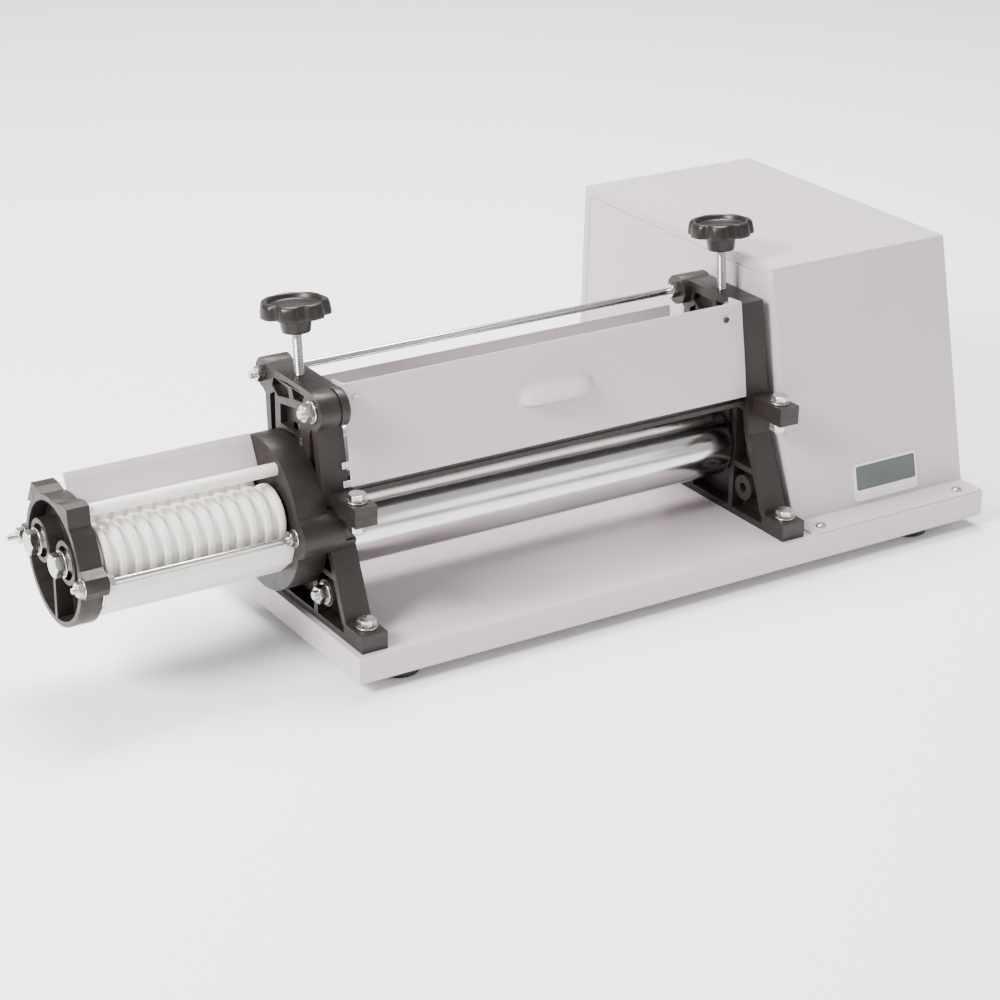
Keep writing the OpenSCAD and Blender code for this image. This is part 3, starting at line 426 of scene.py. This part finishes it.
def islands(node):
    """The lowest and highest corners, in metres, of each loose part of a CAD node."""
    mesh = frame["nodes"][node].data
    parent = {}

    def top(k):
        while parent[k] != k:
            parent[k] = parent[parent[k]]
            k = parent[k]
        return k

    keys = [tuple(round(c * 1e5) for c in v.co) for v in mesh.vertices]
    for key in keys:
        parent.setdefault(key, key)
    for a, b in mesh.edge_keys:
        parent[top(keys[a])] = top(keys[b])
    boxes = {}
    for v in mesh.vertices:
        boxes.setdefault(top(keys[v.index]), []).append(v.co)
    found = []
    for points in boxes.values():
        found.append((Vector([min(p[i] for p in points) for i in range(3)]),
                      Vector([max(p[i] for p in points) for i in range(3)])))
    return sorted(found, key=lambda pair: tuple(pair[0]))


def add_rings(bm, rings, flat_from=None, cap=(True, True)):
    """Joins equal rings of points with quads; flat_from lists the ring gaps that stay flat."""
    rows = [[bm.verts.new(p) for p in ring] for ring in rings]
    for number, (low, high) in enumerate(zip(rows, rows[1:])):
        count = len(low)
        for i in range(count):
            face = bm.faces.new((low[i], low[(i + 1) % count], high[(i + 1) % count], high[i]))
            face.smooth = not (flat_from and number in flat_from)
    if cap[0]:
        bm.faces.new(list(reversed(rows[0])))
    if cap[1]:
        bm.faces.new(rows[-1])


def ring_at(place, turn, radius, height, steps, wave=None):
    """Points of a ring round a local axis; wave gives the radius for an angle if it isn't constant."""
    points = []
    for i in range(steps):
        a = 2 * math.pi * i / steps
        r = wave(a) if wave else radius
        points.append(place + turn @ Vector((r * math.cos(a), r * math.sin(a), height)))
    return points


def lathe(bm, place, turn, profile, steps=48, waves=None):
    """A turned body: profile is a list of (radius, height) in metres along the local axis."""
    rings = []
    for number, (radius, height) in enumerate(profile):
        wave = waves[number] if waves else None
        rings.append(ring_at(place, turn, radius, height, steps, wave))
    add_rings(bm, rings)


def hexagon(across):
    """Radius of a hexagon of that width across its flats, for any angle."""
    def radius(a):
        return across / 2 / math.cos((a + math.pi / 6) % (math.pi / 3) - math.pi / 6)
    return radius


def hex_body(bm, place, turn, across, start, end, chamfer=(True, True)):
    """A nut or bolt head with the turned chamfer on its corners."""
    wave = hexagon(across)
    flat = across * 0.475
    steps = 48
    slope = math.tan(math.radians(30))

    def top_ring(level, sign):
        points = []
        for i in range(steps):
            a = 2 * math.pi * i / steps
            r = wave(a)
            drop = (r - flat) * slope
            points.append(place + turn @ Vector((r * math.cos(a), r * math.sin(a), level - sign * drop)))
        return points

    rings, flats = [], []
    if chamfer[0]:
        rings.append(ring_at(place, turn, flat, start, steps))
        rings.append(top_ring(start, -1))
    else:
        rings.append(ring_at(place, turn, 0, start, steps, wave))
    flats.append(len(rings) - 1)
    if chamfer[1]:
        rings.append(top_ring(end, 1))
        rings.append(ring_at(place, turn, flat, end, steps))
    else:
        rings.append(ring_at(place, turn, 0, end, steps, wave))
    add_rings(bm, rings, flats)


def washer(bm, place, turn, radius, start, end):
    """A washer with rolled edges."""
    edge = min(0.0004, (end - start) / 3)
    lathe(bm, place, turn, [(radius - edge, start), (radius, start + edge), (radius, end - edge),
                            (radius - edge, end)])


def threaded_rod(bm, place, turn, radius, start, end, pitch, steps=24, rows=5, depth=0.61):
    """A rod with a helical thread and chamfered ends."""
    cut = pitch * depth * 0.5
    rings = [ring_at(place, turn, radius - 2 * cut, start, steps)]
    count = max(2, int((end - start) / pitch * rows))
    for k in range(count + 1):
        z = start + cut + (end - start - 2 * cut) * k / count

        def wave(a, z=z):
            phase = (z / pitch - a / (2 * math.pi)) % 1.0
            return radius - cut * abs(2 * phase - 1)
        rings.append(ring_at(place, turn, 0, z, steps, wave))
    rings.append(ring_at(place, turn, radius - 2 * cut, end, steps))
    add_rings(bm, rings)


ALONG = {"x": Matrix.Rotation(math.pi / 2, 3, "Y"), "y": Matrix.Rotation(-math.pi / 2, 3, "X"), "z": Matrix.Identity(3)}
AXIS = {"x": 0, "y": 1, "z": 2}


def finish_piece(name, bm, node, body, slot=None, soft=0.0):
    """Links a new piece, gives it its slot's material, ties it to its body and hides the CAD node it stands in for."""
    slot = slot or SLOT_OF[node]
    bmesh.ops.recalc_face_normals(bm, faces=bm.faces)
    thing = link_mesh(name, bm)
    thing.data.materials.append(PAINT[slot])
    if soft:
        bevel = thing.modifiers.new("round", "BEVEL")
        bevel.width = soft
        bevel.segments = 2
        bevel.limit_method = "ANGLE"
        bevel.angle_limit = math.radians(35)
    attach(thing, body)
    if node:
        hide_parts(node)
    return thing


def fasteners(node, body, axis, elements):
    """Replaces a node of bolts by detailed ones, built from each loose part's own place and ends."""
    bm = bmesh.new()
    along = AXIS[axis]
    turn = ALONG[axis]
    for low, high in islands(node):
        middle = (low + high) / 2
        for kind, size, end, first, last in elements(high[along] - low[along]):
            anchor = (low if end == "lo" else high)[along]
            place = middle.copy()
            place[along] = 0
            start, stop = anchor + first * MM, anchor + last * MM
            if kind == "hex":
                hex_body(bm, place, turn, size * MM, start, stop)
            elif kind == "washer":
                washer(bm, place, turn, size * MM, start, stop)
            elif kind == "rod":
                threaded_rod(bm, place, turn, size * MM, start, stop, 1.25 * MM)
            elif kind == "fine":
                threaded_rod(bm, place, turn, size * MM, start, stop, 0.8 * MM, 16, 4)
            elif kind == "pan":
                rise = stop - start
                lathe(bm, place, turn, [(size * MM, start), (size * MM, start + rise * 0.4),
                                        (size * MM * 0.85, start + rise * 0.8), (size * MM * 0.45, stop),
                                        (size * MM * 0.3, stop), (size * MM * 0.28, stop - rise * 0.35)])
    return finish_piece(node + "_detail", bm, node, body)


fasteners("foot_bolts", "stand", "z", lambda size: [
    ("hex", 13, "hi", -5.6, 0), ("washer", 8.5, "hi", -7.2, -5.6), ("rod", 4, "lo", 0, size / MM - 5.8),
    ("hex", 13, "lo", 2, 9)])
fasteners("clamp_bolts", "stand", "z", lambda size: [
    ("hex", 13, "hi", -5.5, 0), ("washer", 8, "hi", -7, -5.5), ("rod", 4, "lo", 0, size / MM - 5.6),
    ("hex", 13, "lo", 3, 9.5), ("washer", 8, "lo", 9.5, 11)])
fasteners("rear_studs", "stand", "z", lambda size: [
    ("fine", 2.5, "lo", 0, size / MM), ("hex", 8, "lo", 3, 8), ("hex", 8, "hi", -53, -48), ("hex", 8, "hi", -8, -3)])
fasteners("frame_side_bolts", "stand", "x", lambda size: [
    ("rod", 4, "lo", 0, size / MM), ("hex", 13, "lo", 3, 9.5), ("washer", 8.8, "lo", 9.5, 11)])
fasteners("tie_rod_nuts", "stand", "x", lambda size: [
    ("washer", 8, "lo", 0, size / MM)] if size < 0.002 else [("hex", 11, "lo", 0, size / MM)])
for which in ("front", "rear"):
    fasteners(which + "_cutter_bolt", which + "_cutter_body", "x", lambda size: [
        ("hex", 17, "lo", 0, 6.9), ("washer", 10.5, "hi", -1.6, 0)])


def rod_nuts():
    """Nuts of the cutter's tie rods, each with a washer on the side of the casting it bears on."""
    bm = bmesh.new()
    turn = ALONG["x"]
    cap_middle = sum(v.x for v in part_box("cutter_end_cap")) / 2
    for low, high in islands("cutter_rod_nuts"):
        middle = (low + high) / 2
        place = Vector((0, middle.y, middle.z))
        on_left = cap_middle < middle.x < cap_middle + 0.03
        if on_left:
            washer(bm, place, turn, 7.2 * MM, low.x, low.x + 1.2 * MM)
            hex_body(bm, place, turn, 11 * MM, low.x + 1.2 * MM, high.x)
        else:
            hex_body(bm, place, turn, 11 * MM, low.x, high.x - 1.2 * MM)
            washer(bm, place, turn, 7.2 * MM, high.x - 1.2 * MM, high.x)
    finish_piece("cutter_rod_nuts_detail", bm, "cutter_rod_nuts", "stand")


def pan_head(bm, place, turn, radius, rise, depth):
    """A domed screw head with a recess, rising from place along the turned axis."""
    lathe(bm, place, turn, [(radius, 0), (radius, rise * 0.35), (radius * 0.92, rise * 0.62), (radius * 0.74, rise * 0.86),
                            (radius * 0.48, rise), (radius * 0.36, rise), (radius * 0.30, rise - depth)])


def housing_fixings():
    """Pan-head screws along the housing's front flange and on its right side."""
    bm = bmesh.new()
    for low, high in islands("housing_screws"):
        middle = (low + high) / 2
        if high.z - low.z > 0.0085 and high.x - low.x > 0.0085:
            pan_head(bm, Vector((middle.x, middle.y, high.z - 2.6 * MM)), ALONG["z"], 4.5 * MM, 2.6 * MM, 1.3 * MM)
            threaded_rod(bm, Vector((middle.x, middle.y, 0)), ALONG["z"], 2.3 * MM, low.z, high.z - 2.4 * MM, 0.8 * MM, 16, 4)
        else:
            pan_head(bm, Vector((low.x, middle.y, middle.z)), ALONG["x"], 4 * MM, 2.2 * MM, 1.1 * MM)
    finish_piece("housing_screws_detail", bm, "housing_screws", "stand")


rod_nuts()
housing_fixings()


def rods(node, body, ends):
    """Ground rods with threaded ends."""
    bm = bmesh.new()
    for low, high in islands(node):
        middle = (low + high) / 2
        place = Vector((0, middle.y, middle.z))
        radius = (high.z - low.z) / 2
        left, right = low.x + ends * MM, high.x - ends * MM
        threaded_rod(bm, place, ALONG["x"], radius, low.x, left, 0.8 * MM, 20, 4)
        threaded_rod(bm, place, ALONG["x"], radius, right, high.x, 0.8 * MM, 20, 4)
        lathe(bm, place, ALONG["x"], [(radius * 0.9, left), (radius, left + 0.0006), (radius, right - 0.0006),
                                      (radius * 0.9, right)], 32)
    return finish_piece(node + "_detail", bm, node, body)


rods("rear_tie_rod", "stand", 24)
rods("cutter_tie_rods", "stand", 20)

# ---------------------------------------------------------------- knobs and adjusting screws

JOINTS = {joint["name"]: joint for joint in frame["joints"]}
SCREW_PITCH = 1.25 * MM


def knob_frame(side):
    """Place and turn of a knob's leaning axis, from its joint."""
    joint = JOINTS[side + "_knob_turn"]
    axis = Vector(joint["axis"]).normalized()
    turn = Vector((0, 0, 1)).rotation_difference(axis).to_matrix()
    return Vector(joint["pos_m"]), turn


KNOB_LOBES = 7
KNOB_PROFILE = [  # radius, height above the upper roller's axis, share of the scallop; mm
    (4.2, 102.0, 0), (10.6, 102.0, 0), (11.2, 102.5, 0), (11.6, 105.5, 0), (12.3, 110.5, 0), (12.6, 114.4, 0),
    (13.4, 115.2, 0), (18.0, 115.5, 0.1), (24.0, 115.4, 0.8), (27.2, 115.5, 1), (27.8, 116.0, 1),
    (27.9, 117.2, 1), (27.5, 120.4, 1), (27.0, 123.2, 1), (26.5, 125.2, 0.95), (25.6, 126.5, 0.8),
    (24.3, 127.3, 0.45), (22.8, 127.5, 0.15), (21.4, 127.1, 0), (20.6, 126.2, 0), (20.1, 124.4, 0),
    (19.2, 123.2, 0), (16.6, 122.8, 0), (11.0, 122.7, 0), (9.4, 123.1, 0), (6.0, 123.5, 0), (2.0, 123.6, 0)]


def make_knob(side):
    """A moulded seven-lobed knob with a round rim and a dished top."""
    place, turn = knob_frame(side)
    steps = KNOB_LOBES * 16
    waves = []
    for radius, _, share in KNOB_PROFILE:
        def wave(a, radius=radius, share=share):
            valley = (0.5 + 0.5 * math.cos(KNOB_LOBES * a)) ** 3.2
            return (radius - 3.6 * share * valley) * MM
        waves.append(wave)
    bm = bmesh.new()
    lathe(bm, place, turn, [(r * MM, h * MM) for r, h, _ in KNOB_PROFILE], steps, waves)
    thing = finish_piece(side + "_knob_moulding", bm, side + "_knob", side + "_knob_body")
    smooth = thing.modifiers.new("smooth", "SUBSURF")
    smooth.levels = smooth.render_levels = 1


def make_screw(side):
    """An M8 adjusting screw with a turned foot."""
    place, turn = knob_frame(side)
    bm = bmesh.new()
    lathe(bm, place, turn, [(5.9 * MM, 14.2 * MM), (6.4 * MM, 14.6 * MM), (6.4 * MM, 17.6 * MM), (5.9 * MM, 18.0 * MM)])
    threaded_rod(bm, place, turn, 4 * MM, 16 * MM, 119 * MM, SCREW_PITCH, 24, 6)
    finish_piece(side + "_screw_thread", bm, side + "_screw", side + "_knob_body")


for side in ("left", "right"):
    make_knob(side)
    make_screw(side)

# ---------------------------------------------------------------- guard with its pressed grip


def machine(x, y, z):
    """A point of the machine's own drawing, in mm from the tray's front left corner, in the frame."""
    tray_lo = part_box("base_tray")[0]
    tray_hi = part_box("base_tray")[1]
    return Vector((tray_lo.x + x * MM, tray_lo.y + y * MM, tray_hi.z + z * MM))


GUARD_PATH = [(75.0, 190.5), (66.0, 140.0), (61.5, 111.0), (69.5, 109.0)]
GUARD_SHEET = 1.2
GRIP_X, GRIP_Z, GRIP_HALF, GRIP_RISE, GRIP_HEIGHT = 218.0, 145.0, 33.0, 11.5, 17.0


def rounded_path(path, radius, steps=4):
    """The path with each inner corner replaced by a short arc of points."""
    points = [Vector(path[0])]
    for before, here, after in zip(path, path[1:], path[2:]):
        here, before, after = Vector(here), Vector(before), Vector(after)
        d0, d1 = (before - here).normalized(), (after - here).normalized()
        cut = radius / math.tan(d0.angle(d1) / 2)
        a, b = here + d0 * cut, here + d1 * cut
        for k in range(steps + 1):
            t = k / steps
            points.append(a * (1 - t) ** 2 + here * 2 * t * (1 - t) + b * t * t)
    points.append(Vector(path[-1]))
    return points


def make_guard():
    """The hinged guard: a folded sheet with end flanges and a pressed louvre for the fingers."""
    x0, x1 = 28.9, 403.5
    corners = rounded_path(GUARD_PATH, 1.6)
    rows = []
    zs = [GRIP_Z + GRIP_HEIGHT * (1 - k / 12) for k in range(13)]
    top, fold = corners[0], corners[1]

    def on_panel(z):
        t = (top.y - z) / (top.y - fold.y)
        return top + (fold - top) * t
    rows = [(on_panel(190.5 - k * 6.0), False) for k in range(5)]
    rows += [(on_panel(z), False) for z in zs]
    rows += [(on_panel(GRIP_Z), True)]
    rows += [(p, True) for p in corners[1:]]
    xs = [x0 + (GRIP_X - GRIP_HALF - 4 - x0) * k / 10 for k in range(10)]
    xs += [GRIP_X - GRIP_HALF - 4 + (2 * GRIP_HALF + 8) * k / 34 for k in range(35)]
    xs += [GRIP_X + GRIP_HALF + 4 + (x1 - GRIP_X - GRIP_HALF - 4) * k / 10 for k in range(1, 11)]
    out = Vector((-(top.y - fold.y), top.x - fold.x)).normalized()

    def bulge(x, z):
        across = abs(x - GRIP_X) / GRIP_HALF
        rise = (z - GRIP_Z) / GRIP_HEIGHT
        if across >= 1 or rise < -0.01 or rise >= 1:
            return 0.0
        end = (1 - across ** 4) ** 0.5
        reach = 1 - 0.32 * across ** 4
        if rise >= reach:
            return 0.0
        up = rise / reach
        return GRIP_RISE * end * (math.cos(up * math.pi / 2) ** 0.9) * (1 - 0.12 * up)
    bm = bmesh.new()
    grid = []
    for point, below in rows:
        line = []
        for x in xs:
            push = 0.0 if below else bulge(x, point.y)
            line.append(bm.verts.new(machine(x, point.x + out.x * push, point.y + out.y * push)))
        grid.append(line)
    for r in range(len(rows) - 1):
        for c in range(len(xs) - 1):
            a, b, d, e = grid[r][c], grid[r][c + 1], grid[r + 1][c + 1], grid[r + 1][c]
            if rows[r + 1][1] and not rows[r][1] and max((a.co - e.co).length, (b.co - d.co).length) > 0.0012:
                continue
            if (a.co - e.co).length < 1e-7 and (b.co - d.co).length < 1e-7:
                continue
            face = bm.faces.new((a, e, d, b))
            face.smooth = True
    bmesh.ops.remove_doubles(bm, verts=bm.verts, dist=1e-5)
    for x in (x0 + 0.6, x1 - 0.6):
        outline = [(75.6, 190.0), (92.0, 189.0), (94.0, 176.0), (72.0, 168.0)]
        face = bm.faces.new([bm.verts.new(machine(x, y, z)) for y, z in outline])
    for z in (111.5, 126.0):
        y = 61.4 + (z - 106) * 0.155
        face = bm.faces.new([bm.verts.new(machine(x, y + (zz - z) * 0.155, zz)) for x, zz in
                             ((x0 - 6, z), (x0 + 2, z), (x0 + 2, z + 5), (x0 - 6, z + 5))])
    thing = link_mesh("guard_sheet", bm)
    thing.data.materials.append(PAINT["white_sheet"])
    thick = thing.modifiers.new("sheet", "SOLIDIFY")
    thick.thickness = GUARD_SHEET * MM
    thick.offset = -1
    thing.modifiers.new("edges", "BEVEL").width = 0.00035
    thing.modifiers["edges"].segments = 2
    thing.modifiers["edges"].limit_method = "ANGLE"
    thing.modifiers["edges"].angle_limit = math.radians(50)
    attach(thing, "guard_body")
    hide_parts("guard")

    tilt = Matrix.Rotation(math.atan2(9.0, 50.5), 3, "X")
    for x, name, slot in ((39, "guard_left_screw", "white_sheet"), (386, "guard_right_screw", "black_casting")):
        bm = bmesh.new()
        spot = machine(x, 71.6, 178.5) + Vector((0, -0.0004, 0))
        turn = (tilt @ Matrix.Rotation(math.pi / 2, 3, "X"))
        lathe(bm, spot, turn, [(2.6 * MM, -0.4 * MM), (2.6 * MM, 0.5 * MM), (2.1 * MM, 1.1 * MM), (1.1 * MM, 1.3 * MM),
                               (0.9 * MM, 0.6 * MM)], 32)
        screw = link_mesh(name, bm)
        screw.data.materials.append(PAINT[slot])
        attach(screw, "guard_body")


make_guard()

# ---------------------------------------------------------------- badge with a pale border


def make_badge():
    """A blank badge: a grey plate in a raised pale border with round corners."""
    slope = math.atan2(50.0, 212.0)
    turn = Matrix.Rotation(-slope, 3, "X")
    plate_lo, plate_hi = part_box("badge_plate")
    low = machine(503, 28, 0)
    width = (plate_hi.x - plate_lo.x) / MM

    def corner_loop(inset, radius, out, strip=0):
        points = []
        x0, x1, z0, z1 = inset, width - inset, 5 + inset + strip, 38 - inset
        for cx, cz, first in ((x1 - radius, z1 - radius, 0), (x0 + radius, z1 - radius, 90),
                              (x0 + radius, z0 + radius, 180), (x1 - radius, z0 + radius, 270)):
            for k in range(7):
                a = math.radians(first + 15 * k)
                spot = Vector((cx + radius * math.cos(a), -out, cz + radius * math.sin(a)))
                points.append(low + turn @ (spot * MM))
        return points
    bm = bmesh.new()
    add_rings(bm, [corner_loop(0, 4, 0.0), corner_loop(0, 4, 0.7), corner_loop(0.3, 3.7, 1.0)])
    border = finish_piece("badge_border", bm, "badge_plate", "stand", "cutter_white")
    bm = bmesh.new()
    add_rings(bm, [corner_loop(2.15, 2.2, 0.2, 7.5), corner_loop(2.15, 2.2, 1.02, 7.5), corner_loop(2.5, 2.0, 1.15, 7.5)])
    finish_piece("badge_face", bm, "badge_plate", "stand", "badge_grey")


make_badge()
